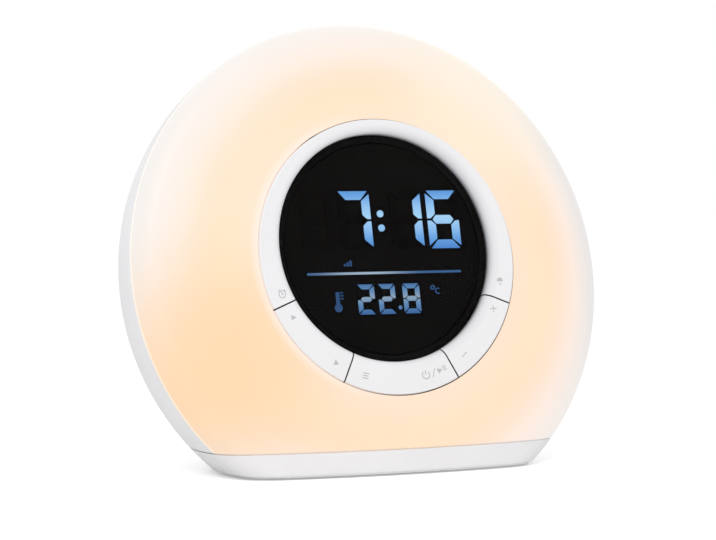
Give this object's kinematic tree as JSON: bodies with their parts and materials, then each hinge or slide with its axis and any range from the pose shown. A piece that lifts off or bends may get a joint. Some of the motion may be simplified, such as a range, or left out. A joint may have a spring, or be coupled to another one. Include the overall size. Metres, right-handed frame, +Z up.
{
  "type": "sunrise alarm clock",
  "caption": "Bedside sunrise alarm clock: leaning round glowing face on a flat base, with a smoked clock window, a ring of rocker keys, a rear speaker and a backup cell.",
  "frame": {"origin": "on the table, under the middle of the bounding box", "axes": "+X to the right seen from the front, +Y to the back, +Z up; the face looks along -Y and leans back"},
  "size_m": [0.1836, 0.0981, 0.1599],
  "materials": {
    "diffuser_glow": "translucent satin",
    "housing_white": "satin white",
    "key_white": "satin white",
    "cap_white": "fine texture",
    "foot_rubber": "matte",
    "smoked_lens": "polished, smoked",
    "foam_black": "matte foam",
    "frame_black": "matte",
    "block_black": "matte",
    "segment_lit": "glowing",
    "segment_dark": "smoked",
    "board_green": "solder mask",
    "board_white": "white solder mask",
    "chassis_white": "matte reflector white",
    "switch_black": "moulded",
    "plunger_grey": "moulded",
    "led_yellow": "clear dome over phosphor",
    "basket_steel": "dark paint",
    "magnet_steel": "zinc plated",
    "surround_rubber": "matte",
    "cone_paper": "coated paper",
    "shield_tin": "tinned",
    "component_black": "moulded epoxy",
    "connector_cream": "moulded",
    "ribbon_grey": "film",
    "lead_red": "wire jacket",
    "jack_black": "moulded",
    "cell_steel": "brushed",
    "contact_brass": "plated",
    "screw_steel": "zinc plated",
    "sensor_green": "coated"
  },
  "bodies": {
    "case": {"diffuser": "diffuser_glow", "rear_housing": "housing_white", "base": "housing_white", "rubber_feet": "foot_rubber", "window_lens": "smoked_lens", "display_gasket": "foam_black", "display_frame": "frame_black", "display_block": "block_black", "lit_segments": "segment_lit", "dark_segments": "segment_dark", "display_board": "board_green", "switch_bodies": "switch_black", "switch_plungers": "plunger_grey", "light_chassis": "chassis_white", "led_board": "board_white", "wake_leds": "led_yellow", "speaker_grille": "housing_white", "speaker_gasket": "foam_black", "speaker_basket": "basket_steel", "speaker_magnet": "magnet_steel", "speaker_surround": "surround_rubber", "speaker_screws": "screw_steel", "main_board": "board_green", "radio_module": "shield_tin", "board_components": "component_black", "ribbon_connectors": "connector_cream", "ribbon_cable": "ribbon_grey", "speaker_leads": "lead_red", "dc_jack": "jack_black", "coin_cell": "cell_steel", "cell_contacts": "contact_brass", "housing_screws": "screw_steel", "base_screws": "screw_steel", "display_screws": "screw_steel", "board_screws": "screw_steel", "temperature_sensor": "sensor_green"},
    "top_key": {"top_key": "key_white"},
    "left_key": {"left_key": "key_white"},
    "bottom_key": {"bottom_key": "key_white"},
    "right_key": {"right_key": "key_white"},
    "speaker_cone": {"speaker_cone": "cone_paper"},
    "battery_cap": {"battery_cap": "cap_white"}
  },
  "joints": [
    {"name": "top_key_rock", "type": "hinge", "parent": "case", "child": "top_key", "pos_m": [0, -0.02979, 0.07542], "axis": [0, 0.2334, 0.9724], "range_deg": [-0.34, 0.34], "stiffness_Nm_per_rad": 11},
    {"name": "left_key_rock", "type": "hinge", "parent": "case", "child": "left_key", "pos_m": [0, -0.02979, 0.07542], "axis": [-0.7385, -0.1574, -0.6557], "range_deg": [-1.35, 1.35], "stiffness_Nm_per_rad": 0.76},
    {"name": "bottom_key_rock", "type": "hinge", "parent": "case", "child": "bottom_key", "pos_m": [0, -0.02979, 0.07542], "axis": [0, -0.2334, -0.9724], "range_deg": [-1.05, 1.05], "stiffness_Nm_per_rad": 1.15},
    {"name": "right_key_rock", "type": "hinge", "parent": "case", "child": "right_key", "pos_m": [0, -0.02979, 0.07542], "axis": [0.7385, -0.1574, -0.6557], "range_deg": [-1.35, 1.35], "stiffness_Nm_per_rad": 0.76},
    {"name": "speaker_cone_travel", "type": "slide", "parent": "case", "child": "speaker_cone", "axis": [0, 0.9724, -0.2334], "range_m": [-0.001, 0.001], "stiffness_N_per_m": 1000, "deforming": ["speaker_surround"]},
    {"name": "battery_cap_turn", "type": "hinge", "parent": "case", "child": "battery_cap", "pos_m": [0, -0.01845, 0.002], "axis": [0, 0, -1], "range_deg": [0, 50]}
  ]
}
